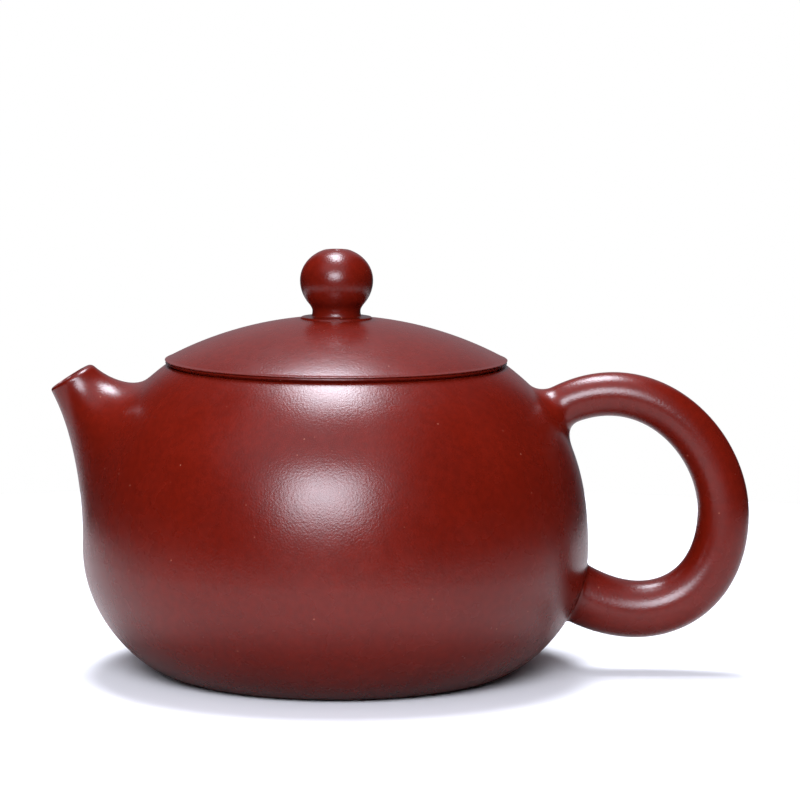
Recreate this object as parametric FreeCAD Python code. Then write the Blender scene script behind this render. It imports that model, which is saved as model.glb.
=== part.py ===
import FreeCAD, Part
import math
import os

# A round-bellied clay teapot, in millimetres.
# +Z is up and the pot stands on z = 0. The origin is the middle of the foot, on the body's axis.
# The spout points along -X and the handle is at +X, both in the y = 0 plane.
# Each solid is one piece of clay, as the potter makes it before the pieces are luted together.

V = FreeCAD.Vector
UP = V(0, 0, 1)
SIDE = V(0, 1, 0)
OUT_FOLDER = "parts"
HALVINGS = 50
STEP = 0.01

# Body outline: a lower curve from the foot to the belly and an upper one from the belly to the mouth.
FOOT_R = 32.0
BELLY_R = 51.1
BELLY_Z = 25.4
MOUTH_EDGE_R = 34.2
SEAT_Z = 62.4
FOOT_PULL = V(7.0, 0, 0.4)
BELLY_PULL_DOWN = 14.2
BELLY_PULL_UP = 17.8
SHOULDER_PULL = 14.4
SHOULDER_SLOPE = math.radians(36)
WALL = 3.2

# Base disc with its pressed-in underside, and the ring round the mouth.
BASE_R = 30.0
BASE_HOLLOW_R = 26.5
BASE_HOLLOW = 1.2
FLOOR_RISE = 0.8
MOUTH_BORE_R = 28.6
MOUTH_JOINT_R = 35.6
MOUTH_RING_DEPTH = 3.2
MOUTH_ROUND = 0.35

# Lid.
DOME_SPHERE_R = 72.7
DOME_TOP_Z = 72.15
DOME_THICK = 3.0
DOME_EDGE_R = 34.5
RING_TOP_Z = 63.3
RING_R = 34.2
RELIEF_R = 33.0
RELIEF = 0.5
FLANGE_R = 28.35
FLANGE_BORE_R = 25.9
FLANGE_DEPTH = 7.0
FLANGE_ROUND = 0.7

# Knob and its collar, with the vent that runs down through both and the dome. The ball is one half
# ellipse above its middle and another below, and blends into the neck.
COLLAR_R = 7.3
COLLAR_TOP_R = 7.05
COLLAR_BOTTOM_Z = 71.2
COLLAR_TOP_Z = 72.15
NECK_FOOT_R = 5.2
NECK_FOOT_Z = 72.3
NECK_R = 4.85
NECK_Z = 73.3
NECK_BLEND_R = 5.6
BALL_R = 7.2
BALL_Z = 79.5
BALL_UP = 6.5
BALL_DOWN = 7.2
DIMPLE_R = 2.0
DIMPLE_DEPTH = 0.4
VENT_R = 1.0

# Spout: its root is an oval prism square to ROOT_AXIS, and its skin swells out of the wall to the tip.
ROOT_AXIS = V(-0.848, 0, 0.530)
ROOT_ACROSS = V(0.530, 0, 0.848)
ROOT_MIDDLE = 12.7
ROOT_HALF_LENGTH = 18.2
ROOT_HALF_WIDTH = 20.0
ROOT_EGG = 0.25
ROOT_INSIDE = 30.0
ROOT_OUTSIDE = 90.0
TIP = V(-53.2, 0, 59.75)
TIP_TILT = math.radians(30)
TIP_R = 5.1
TIP_FLARE = 0.2
TIP_FLARE_TOP = 0.1
TIP_FLARE_SIDE = 0.15
ROOT_PULL = 0.8
ROOT_PULL_SIDE = 0.2
TIP_PULL_LOW = 0.8
TIP_PULL_HIGH = 1.1
TIP_PULL_SIDE = 0.3
SKIN_STEPS = 8
SKIN_POINTS = 24
LIP_ROUND = 0.6

# Pouring channel: centre and radius of each round section, from inside the wall to past the tip.
CHANNEL = [
    (V(-39.2, 0, 42.1), 7.3),
    (V(-43.2, 0, 44.6), 7.3),
    (V(-46.2, 0, 48.0), 5.6),
    (V(-49.0, 0, 52.3), 4.4),
    (V(-51.7, 0, 56.1), 3.7),
    (V(-53.8, 0, 59.4), 3.2),
    (V(-55.3, 0, 62.0), 3.2),
]

# Strainer: a thin perforated dome inside the wall, over the spout's hole.
STRAINER_R = 9.4
STRAINER_THICK = 1.6
STRAINER_HOLE_R = 0.9
STRAINER_RINGS = [(0, 1), (21, 6), (42, 12), (63, 12)]

# Handle: a round bar whose centre line is two curves that meet at its outermost point.
GRIP_TOP = V(43.9, 0, 53.5)
GRIP_TOP_PULL = V(18.5, 0, 10.4)
GRIP_OUT = V(78.4, 0, 32.65)
GRIP_OUT_PULL_UP = 14.7
GRIP_OUT_PULL_DOWN = 18.6
GRIP_END = V(45.6, 0, 18.3)
GRIP_END_PULL = V(16.3, 0, -11.2)
GRIP_TOP_R = 4.2
GRIP_OUT_R = 5.2
GRIP_END_R = 6.05
GRIP_TOP_FLARE = 1.0
GRIP_END_FLARE = 0.5
GRIP_FLARE_REACH = 5.0
GRIP_STEPS = [0, 0.04, 0.09, 0.16, 0.25, 0.375, 0.5, 0.625, 0.75, 0.875]
GRIP_ROOT = 5.0


def bezier(*poles):
    curve = Part.BezierCurve()
    curve.setPoles(list(poles))
    return curve


def line(start, end):
    return Part.LineSegment(start, end).toShape()


def arc(start, middle, end):
    return Part.Arc(start, middle, end).toShape()


def smooth(points, closed=False):
    curve = Part.BSplineCurve()
    curve.interpolate(points, PeriodicFlag=closed)
    return curve.toShape()


def turned(edges):
    """The solid that a closed outline in the XZ plane sweeps round the Z axis."""
    face = Part.Face(Part.Wire(Part.__sortEdges__(edges)))
    return face.revolve(V(0, 0, 0), UP, 360)


def polygon(points):
    return [line(a, b) for a, b in zip(points, points[1:] + points[:1])]


def rim_edges(shape, radius, height):
    """The circles of that radius about the Z axis at that height."""
    found = []
    for edge in shape.Edges:
        if isinstance(edge.Curve, Part.Circle):
            centre = edge.Curve.Center
            same_radius = abs(edge.Curve.Radius - radius) < STEP
            same_centre = centre.distanceToPoint(V(0, 0, height)) < STEP
            if same_radius and same_centre:
                found.append(edge)
    return found


# ---- Body -------------------------------------------------------------------------------------

def outline_curves():
    """The lower and upper curves of the body's outside, from the foot up to the mouth."""
    foot = V(FOOT_R, 0, 0)
    belly = V(BELLY_R, 0, BELLY_Z)
    mouth = V(MOUTH_EDGE_R, 0, SEAT_Z)
    along = V(math.cos(SHOULDER_SLOPE), 0, -math.sin(SHOULDER_SLOPE))
    lower = bezier(foot, foot + FOOT_PULL, belly - UP * BELLY_PULL_DOWN, belly)
    upper = bezier(belly, belly + UP * BELLY_PULL_UP, mouth + along * SHOULDER_PULL, mouth)
    return lower, upper


LOWER, UPPER = outline_curves()


def inward(curve, t):
    """The point one wall thickness inside the outline."""
    slope = curve.tangent(t)[0]
    return curve.value(t) + V(-slope.z, 0, slope.x) * WALL


def wall_curve():
    """The body's inside, one wall thickness in from the outside, from the floor to the mouth."""
    steps = 6
    points = [inward(LOWER, i / steps) for i in range(steps)]
    points += [inward(UPPER, i / steps) for i in range(steps + 1)]
    return points


def body_outside():
    foot = V(FOOT_R, 0, 0)
    mouth = V(MOUTH_EDGE_R, 0, SEAT_Z)
    edges = [LOWER.toShape(), UPPER.toShape()]
    edges += [line(mouth, V(0, 0, SEAT_Z)), line(V(0, 0, SEAT_Z), V(0, 0, 0)), line(V(0, 0, 0), foot)]
    return turned(edges)


def cavity():
    """The room inside the body, up through the mouth."""
    points = wall_curve()
    floor_edge = points[0]
    under_mouth = V(MOUTH_BORE_R, 0, SEAT_Z - MOUTH_RING_DEPTH)
    floor_middle = V(0, 0, floor_edge.z + FLOOR_RISE)
    half_way = V(floor_edge.x / 2, 0, floor_edge.z + FLOOR_RISE * 0.75)
    top = V(MOUTH_BORE_R, 0, SEAT_Z + 1)
    edges = [arc(floor_middle, half_way, floor_edge), smooth(points)]
    edges += [line(points[-1], under_mouth), line(under_mouth, top)]
    edges += [line(top, V(0, 0, top.z)), line(V(0, 0, top.z), floor_middle)]
    return turned(edges)


def upper_at_radius(radius):
    """Where the upper curve reaches a radius, between the belly and the mouth."""
    low, high = 0.0, 1.0
    for _ in range(HALVINGS):
        middle = (low + high) / 2
        if UPPER.value(middle).x > radius:
            low = middle
        else:
            high = middle
    return low


def mouth_block():
    """All that lies inside the joint round the mouth, which is square to the wall."""
    t = upper_at_radius(MOUTH_JOINT_R)
    point = UPPER.value(t)
    slope = UPPER.tangent(t)[0]
    normal = V(slope.z, 0, -slope.x)
    outer = point + normal * 2
    inner = point - normal * 2 * WALL
    return turned(polygon([V(0, 0, inner.z), inner, outer, V(0, 0, outer.z)]))


def base_block():
    return Part.makeCylinder(BASE_R, 2 * WALL + BASE_HOLLOW, V(0, 0, -1))


def base_hollow():
    """The shallow bowl that is pressed into the underside."""
    radius = (BASE_HOLLOW_R ** 2 + BASE_HOLLOW ** 2) / (2 * BASE_HOLLOW)
    return Part.makeSphere(radius, V(0, 0, BASE_HOLLOW - radius))


def base_disc(shell):
    return shell.common(base_block()).cut(base_hollow())


def mouth_ring(shell):
    ring = shell.common(mouth_block())
    edges = rim_edges(ring, MOUTH_EDGE_R, SEAT_Z)
    edges += rim_edges(ring, MOUTH_BORE_R, SEAT_Z)
    edges += rim_edges(ring, MOUTH_BORE_R, SEAT_Z - MOUTH_RING_DEPTH)
    return ring.makeFillet(MOUTH_ROUND, edges)


def body_wall(shell, root):
    return shell.cut(base_block()).cut(mouth_block()).cut(root)


# ---- Spout ------------------------------------------------------------------------------------

def outline_radius(height):
    """The body's outside radius at a height above the foot."""
    curve = LOWER if height < BELLY_Z else UPPER
    low, high = 0.0, 1.0
    for _ in range(HALVINGS):
        middle = (low + high) / 2
        if curve.value(middle).z < height:
            low = middle
        else:
            high = middle
    return curve.value(low).x


def outside_depth(point):
    """How far a point is outside the body, measured level."""
    return math.hypot(point.x, point.y) - outline_radius(point.z)


def root_point(angle, along):
    """A point of the root's oval, moved along the root's axis. Angle 0 is nearest the mouth."""
    width = ROOT_HALF_WIDTH * (1 + ROOT_EGG * math.cos(angle))
    across = ROOT_ACROSS * (ROOT_MIDDLE + ROOT_HALF_LENGTH * math.cos(angle))
    return across + SIDE * (width * math.sin(angle)) + ROOT_AXIS * along


def on_body(angle):
    """Where the root's oval comes out of the body."""
    low, high = ROOT_INSIDE, ROOT_OUTSIDE
    for _ in range(HALVINGS):
        middle = (low + high) / 2
        if outside_depth(root_point(angle, middle)) < 0:
            low = middle
        else:
            high = middle
    return root_point(angle, low)


def body_normal(point):
    """The body's outward normal at a point of its outside."""
    rise = (outline_radius(point.z + STEP) - outline_radius(point.z - STEP)) / (2 * STEP)
    normal = V(point.x, point.y, -rise * math.hypot(point.x, point.y))
    return normal.normalize()


def tip_point(angle):
    """A point of the tip's outer edge. Angle 0 is nearest the lid."""
    across = V(math.cos(TIP_TILT), 0, math.sin(TIP_TILT))
    return TIP + (across * math.cos(angle) + SIDE * math.sin(angle)) * TIP_R


def skin_point(angle, t):
    """A point of the spout's skin: t runs from the body, where it is tangent, to the tip."""
    start = on_body(angle)
    end = tip_point(angle)
    around = on_body(angle + STEP) - on_body(angle - STEP)
    leave = body_normal(start).cross(around).normalize()
    tip_axis = V(-math.sin(TIP_TILT), 0, math.cos(TIP_TILT))
    side = math.sin(angle) ** 2
    flare = TIP_FLARE + TIP_FLARE_TOP * math.cos(angle) - TIP_FLARE_SIDE * side
    arrive = (tip_axis - (end - TIP).normalize() * flare).normalize()
    reach = start.distanceToPoint(end)
    leave *= reach * (ROOT_PULL + ROOT_PULL_SIDE * side)
    lid_side = (1 + math.cos(angle)) / 2
    tip_pull = TIP_PULL_LOW + (TIP_PULL_HIGH - TIP_PULL_LOW) * lid_side - TIP_PULL_SIDE * side
    arrive *= reach * tip_pull
    h_start = 1 - 10 * t ** 3 + 15 * t ** 4 - 6 * t ** 5
    h_leave = t - 6 * t ** 3 + 8 * t ** 4 - 3 * t ** 5
    h_arrive = -4 * t ** 3 + 7 * t ** 4 - 3 * t ** 5
    return start * h_start + end * (1 - h_start) + leave * h_leave + arrive * h_arrive


def ring_wire(point_at):
    points = [point_at(2 * math.pi * i / SKIN_POINTS) for i in range(SKIN_POINTS)]
    return Part.Wire([smooth(points, closed=True)])


def root_prism():
    """The oval prism in which the spout's root fills the wall."""
    start = ring_wire(lambda angle: root_point(angle, ROOT_INSIDE))
    return Part.Face(start).extrude(ROOT_AXIS * (ROOT_OUTSIDE - ROOT_INSIDE))


def spout_envelope():
    """The spout without its channel: a straight root, then the skin, then the tip's plane."""
    inner = ring_wire(lambda angle: root_point(angle, ROOT_INSIDE))
    steps = [i / SKIN_STEPS for i in range(SKIN_STEPS + 1)]
    sections = [ring_wire(lambda angle, t=t: skin_point(angle, t)) for t in steps]
    root = Part.makeLoft([inner, sections[0]], False, True)
    skin = Part.makeLoft(sections, False, False)
    faces = root.Faces + skin.Faces + [Part.Face(inner), Part.Face(sections[-1])]
    shell = Part.makeShell(faces)
    shell.sewShape()
    solid = Part.Solid(Part.Shell(shell.Faces))
    if solid.Volume < 0:
        solid.reverse()
    return solid


def channel():
    """The hollow that the tea runs through, from inside the wall to past the tip."""
    wires = []
    for i, (centre, radius) in enumerate(CHANNEL):
        before = CHANNEL[max(i - 1, 0)][0]
        after = CHANNEL[min(i + 1, len(CHANNEL) - 1)][0]
        wires.append(ring_at(centre, (after - before).normalize(), radius))
    return Part.makeLoft(wires, True, False)


def ring_at(centre, along, radius):
    """A circle square to a direction in the XZ plane."""
    wire = Part.Wire([Part.makeCircle(radius)])
    wire.Placement = FreeCAD.Placement(centre, FreeCAD.Rotation(SIDE.cross(along), SIDE, along, "ZYX"))
    return wire


def on_tip_plane(edge):
    tip_axis = V(-math.sin(TIP_TILT), 0, math.cos(TIP_TILT))
    ends = [edge.valueAt(p) for p in (edge.FirstParameter, edge.LastParameter)]
    middle = edge.valueAt((edge.FirstParameter + edge.LastParameter) / 2)
    return all(abs((point - TIP).dot(tip_axis)) < STEP for point in ends + [middle])


def spout(room):
    """The spout with its channel, and its lip rounded inside and out."""
    hollow = spout_envelope().cut(room).cut(channel())
    return hollow.makeFillet(LIP_ROUND, [edge for edge in hollow.Edges if on_tip_plane(edge)])


def strainer(room):
    """The ball-shaped strainer, which sits on the wall's inner face round the spout's hole."""
    middle = CHANNEL[1][0]
    dome = Part.makeSphere(STRAINER_R, middle)
    dome = dome.cut(Part.makeSphere(STRAINER_R - STRAINER_THICK, middle)).common(room)
    inwards = ROOT_AXIS * -1
    for tilt, count in STRAINER_RINGS:
        for i in range(count):
            turn = 360 * i / count
            lean = FreeCAD.Rotation(SIDE, tilt)
            spin = FreeCAD.Rotation(inwards, turn)
            aim = spin.multVec(lean.multVec(inwards))
            dome = dome.cut(Part.makeCylinder(STRAINER_HOLE_R, 2 * STRAINER_R, middle, aim))
    return dome


# ---- Handle -----------------------------------------------------------------------------------

def handle_sections():
    """Centre, direction and radius of the bar's round sections, from the shoulder round to the belly."""
    top = bezier(GRIP_TOP, GRIP_TOP + GRIP_TOP_PULL, GRIP_OUT + UP * GRIP_OUT_PULL_UP, GRIP_OUT)
    low = bezier(GRIP_OUT, GRIP_OUT - UP * GRIP_OUT_PULL_DOWN, GRIP_END + GRIP_END_PULL, GRIP_END)
    start = top.tangent(0)[0]
    finish = low.tangent(1)[0]
    sections = [(GRIP_TOP - start * GRIP_ROOT, start, GRIP_TOP_R + GRIP_TOP_FLARE)]
    low_steps = [1 - step for step in reversed(GRIP_STEPS[1:])]
    runs = ((top, GRIP_STEPS, GRIP_TOP_R, GRIP_OUT_R), (low, [0] + low_steps, GRIP_OUT_R, GRIP_END_R))
    for curve, steps, first_r, last_r in runs:
        for t in steps:
            radius = first_r + (last_r - first_r) * t
            centre = curve.value(t)
            radius += GRIP_TOP_FLARE * fade(centre.distanceToPoint(GRIP_TOP))
            radius += GRIP_END_FLARE * fade(centre.distanceToPoint(GRIP_END))
            sections.append((centre, curve.tangent(t)[0], radius))
    sections.append((GRIP_END, finish, GRIP_END_R + GRIP_END_FLARE))
    sections.append((GRIP_END + finish * GRIP_ROOT, finish, GRIP_END_R + GRIP_END_FLARE))
    return sections


def fade(distance):
    """1 at a joint with the body, falling to 0 at the reach of its flare."""
    return max(0.0, 1 - distance / GRIP_FLARE_REACH) ** 2


def handle(outside):
    wires = [ring_at(centre, along, radius) for centre, along, radius in handle_sections()]
    return Part.makeLoft(wires, True, False).cut(outside)


# ---- Lid --------------------------------------------------------------------------------------

def sphere_height(radius, sphere_r):
    """Height of a sphere about the dome's centre, at a distance from the axis."""
    return DOME_TOP_Z - DOME_SPHERE_R + math.sqrt(sphere_r ** 2 - radius ** 2)


def sphere_arc(first_r, last_r, sphere_r):
    middle_r = (first_r + last_r) / 2
    points = [V(r, 0, sphere_height(r, sphere_r)) for r in (first_r, middle_r, last_r)]
    return arc(*points)


def under_dome_r():
    """Where the underside of the dome comes down to the top of the seat ring."""
    under = DOME_SPHERE_R - DOME_THICK
    return math.sqrt(under ** 2 - (RING_TOP_Z - DOME_TOP_Z + DOME_SPHERE_R) ** 2)


def lid_dome():
    under = DOME_SPHERE_R - DOME_THICK
    foot_r = under_dome_r()
    edge = V(DOME_EDGE_R, 0, sphere_height(DOME_EDGE_R, DOME_SPHERE_R))
    pocket = V(COLLAR_R, 0, COLLAR_BOTTOM_Z)
    edges = [sphere_arc(COLLAR_R, DOME_EDGE_R, DOME_SPHERE_R)]
    edges += [line(edge, V(DOME_EDGE_R, 0, RING_TOP_Z))]
    edges += [line(V(DOME_EDGE_R, 0, RING_TOP_Z), V(foot_r, 0, RING_TOP_Z))]
    edges += [sphere_arc(foot_r, VENT_R, under)]
    edges += [line(V(VENT_R, 0, sphere_height(VENT_R, under)), V(VENT_R, 0, COLLAR_BOTTOM_Z))]
    edges += [line(V(VENT_R, 0, COLLAR_BOTTOM_Z), pocket)]
    edges += [line(pocket, V(COLLAR_R, 0, sphere_height(COLLAR_R, DOME_SPHERE_R)))]
    return turned(edges)


def lid_seat_ring():
    under = DOME_SPHERE_R - DOME_THICK
    foot_r = under_dome_r()
    inner_top = V(FLANGE_BORE_R, 0, sphere_height(FLANGE_BORE_R, under))
    points = [inner_top, V(FLANGE_BORE_R, 0, SEAT_Z), V(RELIEF_R, 0, SEAT_Z)]
    points += [V(RELIEF_R + RELIEF, 0, SEAT_Z + RELIEF), V(RING_R, 0, SEAT_Z + RELIEF)]
    points += [V(RING_R, 0, RING_TOP_Z), V(foot_r, 0, RING_TOP_Z)]
    edges = polygon(points)[:-1] + [sphere_arc(foot_r, FLANGE_BORE_R, under)]
    return turned(edges)


def lid_flange():
    bottom = SEAT_Z - FLANGE_DEPTH
    ring = Part.makeCylinder(FLANGE_R, FLANGE_DEPTH, V(0, 0, bottom))
    ring = ring.cut(Part.makeCylinder(FLANGE_BORE_R, FLANGE_DEPTH, V(0, 0, bottom)))
    edges = rim_edges(ring, FLANGE_R, bottom) + rim_edges(ring, FLANGE_BORE_R, bottom)
    return ring.makeFillet(FLANGE_ROUND, edges)


def knob_collar():
    points = [V(VENT_R, 0, COLLAR_BOTTOM_Z), V(COLLAR_R, 0, COLLAR_BOTTOM_Z)]
    points += [V(COLLAR_R, 0, sphere_height(COLLAR_R, DOME_SPHERE_R)), V(COLLAR_TOP_R, 0, COLLAR_TOP_Z)]
    points += [V(NECK_FOOT_R, 0, NECK_FOOT_Z), V(VENT_R, 0, NECK_FOOT_Z)]
    return turned(polygon(points))


def ball_arc(first, last, half_height):
    """Part of the ball's outline, between two angles from its top."""
    reach = 4 / 3 * math.tan((last - first) / 4)
    ends = [V(BALL_R * math.sin(a), 0, BALL_Z + half_height * math.cos(a)) for a in (first, last)]
    slopes = [V(BALL_R * math.cos(a), 0, -half_height * math.sin(a)) for a in (first, last)]
    return bezier(ends[0], ends[0] + slopes[0] * reach, ends[1] - slopes[1] * reach, ends[1])


def knob():
    rim_lean = math.asin(DIMPLE_R / BALL_R)
    blend_lean = math.pi - math.asin(NECK_BLEND_R / BALL_R)
    upper = ball_arc(rim_lean, math.pi / 2, BALL_UP)
    lower = ball_arc(math.pi / 2, blend_lean, BALL_DOWN)
    rim = upper.value(0)
    vent_top = V(VENT_R, 0, rim.z - DIMPLE_DEPTH)
    dimple = bezier(vent_top, V(DIMPLE_R * 0.7, 0, vent_top.z), rim)
    low = lower.value(1)
    down = lower.tangent(1)[0]
    corner = low + down * ((NECK_R - low.x) / down.x)
    neck_top = V(NECK_R, 0, NECK_Z)
    foot = V(NECK_FOOT_R, 0, NECK_FOOT_Z)
    neck = bezier(neck_top, V(NECK_R, 0, foot.z + 0.15), foot)
    curves = [dimple, upper, lower, bezier(low, corner, neck_top), neck]
    edges = [curve.toShape() for curve in curves]
    edges += [line(foot, V(VENT_R, 0, foot.z)), line(V(VENT_R, 0, foot.z), vent_top)]
    return turned(edges)


# ---- Whole pot --------------------------------------------------------------------------------

def build():
    outside = body_outside()
    room = cavity()
    shell = outside.cut(room)
    return {
        "base_disc": base_disc(shell),
        "body_wall": body_wall(shell, root_prism()),
        "mouth_ring": mouth_ring(shell),
        "spout": spout(room),
        "spout_strainer": strainer(room),
        "handle": handle(outside),
        "lid_dome": lid_dome(),
        "lid_seat_ring": lid_seat_ring(),
        "lid_flange": lid_flange(),
        "knob_collar": knob_collar(),
        "knob": knob(),
    }


os.makedirs(OUT_FOLDER, exist_ok=True)
for name, shape in build().items():
    shape.exportStep(os.path.join(OUT_FOLDER, name + ".step"))
    state = "valid" if shape.isValid() else "NOT VALID"
    print(name, state, len(shape.Solids), "solid", round(shape.Volume), "mm3")
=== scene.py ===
import math

import bmesh
import bpy
import numpy as np
from mathutils import Matrix, Vector


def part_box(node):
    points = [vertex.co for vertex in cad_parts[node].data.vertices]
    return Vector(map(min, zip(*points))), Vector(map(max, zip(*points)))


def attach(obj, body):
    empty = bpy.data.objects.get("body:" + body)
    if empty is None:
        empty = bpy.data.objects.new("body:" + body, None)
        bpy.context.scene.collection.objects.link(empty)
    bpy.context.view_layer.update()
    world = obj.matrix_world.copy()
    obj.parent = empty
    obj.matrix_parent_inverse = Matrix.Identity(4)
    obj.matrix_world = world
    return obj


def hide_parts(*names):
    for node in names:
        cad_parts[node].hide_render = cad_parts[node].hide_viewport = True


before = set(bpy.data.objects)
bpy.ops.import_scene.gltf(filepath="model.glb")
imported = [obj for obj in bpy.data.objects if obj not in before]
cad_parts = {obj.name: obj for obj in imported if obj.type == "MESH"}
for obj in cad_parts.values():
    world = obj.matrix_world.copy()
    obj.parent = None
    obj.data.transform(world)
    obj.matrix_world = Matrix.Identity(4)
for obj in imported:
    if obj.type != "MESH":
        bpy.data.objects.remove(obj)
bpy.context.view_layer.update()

# Everything is in metres, in the CAD frame: +Z up, the spout at -X, the handle at +X.
mm = 0.001
Y, Z = np.eye(3)[1:]

# ---- Sizes from the frame ----------------------------------------------------------------------
BELLY_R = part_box("body_wall")[1].y
SEAT_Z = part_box("mouth_ring")[1].z
BASE_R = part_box("base_disc")[1].y
RING_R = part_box("lid_seat_ring")[1].y
DOME_EDGE_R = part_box("lid_dome")[1].y
RING_TOP_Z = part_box("lid_dome")[0].z
FLANGE_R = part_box("lid_flange")[1].y
FLANGE_BOTTOM_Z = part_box("lid_flange")[0].z
COLLAR_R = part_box("knob_collar")[1].y
COLLAR_BOTTOM_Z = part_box("knob_collar")[0].z
NECK_FOOT_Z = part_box("knob_collar")[1].z

# ---- Body --------------------------------------------------------------------------------------
FOOT_R = 32 * mm
BELLY_Z = 25.4 * mm
MOUTH_EDGE_R = 34.2 * mm
FOOT_PULL = np.array([7.0, 0.4]) * mm
BELLY_PULL_DOWN = 14.2 * mm
BELLY_PULL_UP = 17.8 * mm
SHOULDER_PULL = 14.4 * mm
SHOULDER_SLOPE = math.radians(36)
WALL = 3.2 * mm
BASE_HOLLOW_R = 26.5 * mm
BASE_HOLLOW = 1.2 * mm
BASE_ROUND = 1.6 * mm
FLOOR_RISE = 0.8 * mm
MOUTH_BORE_R = 28.6 * mm
MOUTH_JOINT_R = 35.6 * mm
MOUTH_RING_DEPTH = 3.2 * mm
MOUTH_ROUND = 0.4 * mm
AROUND = 288
WELD = 0.0005 * mm

# ---- Lid ---------------------------------------------------------------------------------------
DOME_SPHERE_R = 72.7 * mm
DOME_TOP_Z = 72.15 * mm
DOME_THICK = 3.0 * mm
DOME_LIP = 0.42 * mm
RELIEF_R = 33.7 * mm
RELIEF = 0.5 * mm
RING_ROUND = 0.2 * mm
FLANGE_BORE_R = 25.9 * mm
FLANGE_ROUND = 0.7 * mm
COLLAR_TOP_R = 7.05 * mm
COLLAR_TOP_Z = 72.15 * mm
COLLAR_ROUND = 0.16 * mm
NECK_FOOT_R = 5.2 * mm
NECK_R = 4.85 * mm
NECK_Z = 73.3 * mm
NECK_BLEND_R = 5.6 * mm
BALL_R = 7.35 * mm
BALL_Z = 79.5 * mm
BALL_UP = 6.5 * mm
BALL_DOWN = 7.2 * mm
DIMPLE_R = 2.0 * mm
DIMPLE_DEPTH = 0.4 * mm
VENT_R = 1.0 * mm

# ---- Spout -------------------------------------------------------------------------------------
ROOT_AXIS = np.array([-0.848, 0, 0.530])
ROOT_ACROSS = np.array([0.530, 0, 0.848])
ROOT_MIDDLE = 12.7 * mm
ROOT_HALF_LENGTH = 18.2 * mm
ROOT_HALF_WIDTH = 20.0 * mm
ROOT_EGG = 0.25
TIP = np.array([-53.55, 0, 59.85]) * mm
TIP_TILT = math.radians(32.5)
TIP_R = 4.8 * mm
TIP_FLARE = 0.2
TIP_FLARE_TOP = 0.1
TIP_FLARE_SIDE = 0.15
ROOT_PULL = 0.8
ROOT_PULL_SIDE = 0.2
TIP_PULL_LOW = 0.8
TIP_PULL_HIGH = 1.1
TIP_PULL_SIDE = 0.3
LIP_ROUND = 0.7 * mm
LIP_ROUND_MORE = 0.5 * mm
BORE_SHIFT = 0.4 * mm
OPENING_R = 7.3 * mm
OPENING_MIDDLE = 14.92 * mm
CHANNEL = [
    ((-46.2, 0, 48.0), 5.6),
    ((-49.0, 0, 52.3), 4.4),
    ((-51.7, 0, 56.1), 3.7),
    ((-53.8, 0, 59.4), 3.2),
]
SPOUT_AROUND = 128
SKIN_CROWD = 1.15
SKIN_END = 0.975
SKIN_END_LESS = 0.05

# ---- Handle ------------------------------------------------------------------------------------
GRIP_TOP = np.array([43.9, 0, 53.5]) * mm
GRIP_TOP_PULL = np.array([18.5, 0, 10.4]) * mm
GRIP_OUT = np.array([78.4, 0, 32.65]) * mm
GRIP_OUT_PULL_UP = 14.7 * mm
GRIP_OUT_PULL_DOWN = 18.6 * mm
GRIP_END = np.array([45.6, 0, 18.3]) * mm
GRIP_END_PULL = np.array([16.3, 0, -11.2]) * mm
GRIP_TOP_R = 4.2 * mm
GRIP_OUT_R = 5.2 * mm
GRIP_END_R = 6.05 * mm
GRIP_ROOT = 6 * mm
TOP_FILLET = 5.5 * mm
TOP_FILLET_INSIDE = 3.2 * mm
END_FILLET = 1.1 * mm
GRIP_AROUND = 96
END_ROWS = 4
NEAR_END = 18 * mm
FILLET_PULL = 1.65


# ---- Curves and patches ------------------------------------------------------------------------

def bezier(poles, steps):
    t = np.linspace(0, 1, steps + 1)[:, None]
    a, b, c, d = (np.array(p, float) for p in poles)
    return (1 - t) ** 3 * a + 3 * (1 - t) ** 2 * t * b + 3 * (1 - t) * t ** 2 * c + t ** 3 * d


def bend(start, corner, end, steps):
    """A rounded corner from start to end, tangent to the two lines that meet at the corner."""
    t = np.linspace(0, 1, steps + 1).reshape((-1,) + (1,) * np.ndim(start))
    start, corner, end = np.array(start, float), np.array(corner, float), np.array(end, float)
    return (1 - t) ** 2 * start + 2 * t * (1 - t) * corner + t ** 2 * end


def flow(start, leave, arrive, end, places):
    """Rows of curves that leave and arrive along two vectors, without a bend at either end."""
    t = places[..., None]
    h_start = 1 - 10 * t ** 3 + 15 * t ** 4 - 6 * t ** 5
    h_leave = t - 6 * t ** 3 + 8 * t ** 4 - 3 * t ** 5
    h_arrive = -4 * t ** 3 + 7 * t ** 4 - 3 * t ** 5
    return start * h_start + end * (1 - h_start) + leave * h_leave + arrive * h_arrive


def straight(start, end, steps=1):
    t = np.linspace(0, 1, steps + 1).reshape((-1,) + (1,) * np.ndim(start))
    return (1 - t) * np.array(start, float) + t * np.array(end, float)


def chain(*runs):
    """Joins runs of points end to end, dropping each repeated point."""
    joined = [np.array(runs[0], float)]
    for run in runs[1:]:
        joined.append(np.array(run, float)[1:])
    return np.concatenate(joined)


def rounded(points, radii, steps=8):
    """A polyline with its inner corners rounded: each radius is how far the bend reaches from its corner."""
    points = [np.array(p, float) for p in points]
    runs = [points[:1]]
    for before, corner, after, reach in zip(points, points[1:], points[2:], radii):
        back = corner + (before - corner) / np.linalg.norm(before - corner) * reach
        on = corner + (after - corner) / np.linalg.norm(after - corner) * reach
        runs.append(bend(back, corner, on, steps))
    runs.append(points[-1:])
    return np.concatenate([np.array(r) for r in runs])


def slopes(points):
    """The direction of a run of points at each point, from their spacing."""
    away = np.r_[0, np.cumsum(np.linalg.norm(np.diff(points, axis=0), axis=-1))]
    order = 2 if len(points) > 2 else 1
    return np.gradient(points, away, axis=0, edge_order=order)


def unit(vectors):
    length = np.linalg.norm(vectors, axis=-1, keepdims=True)
    return vectors / np.maximum(length, 1e-12)


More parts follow.
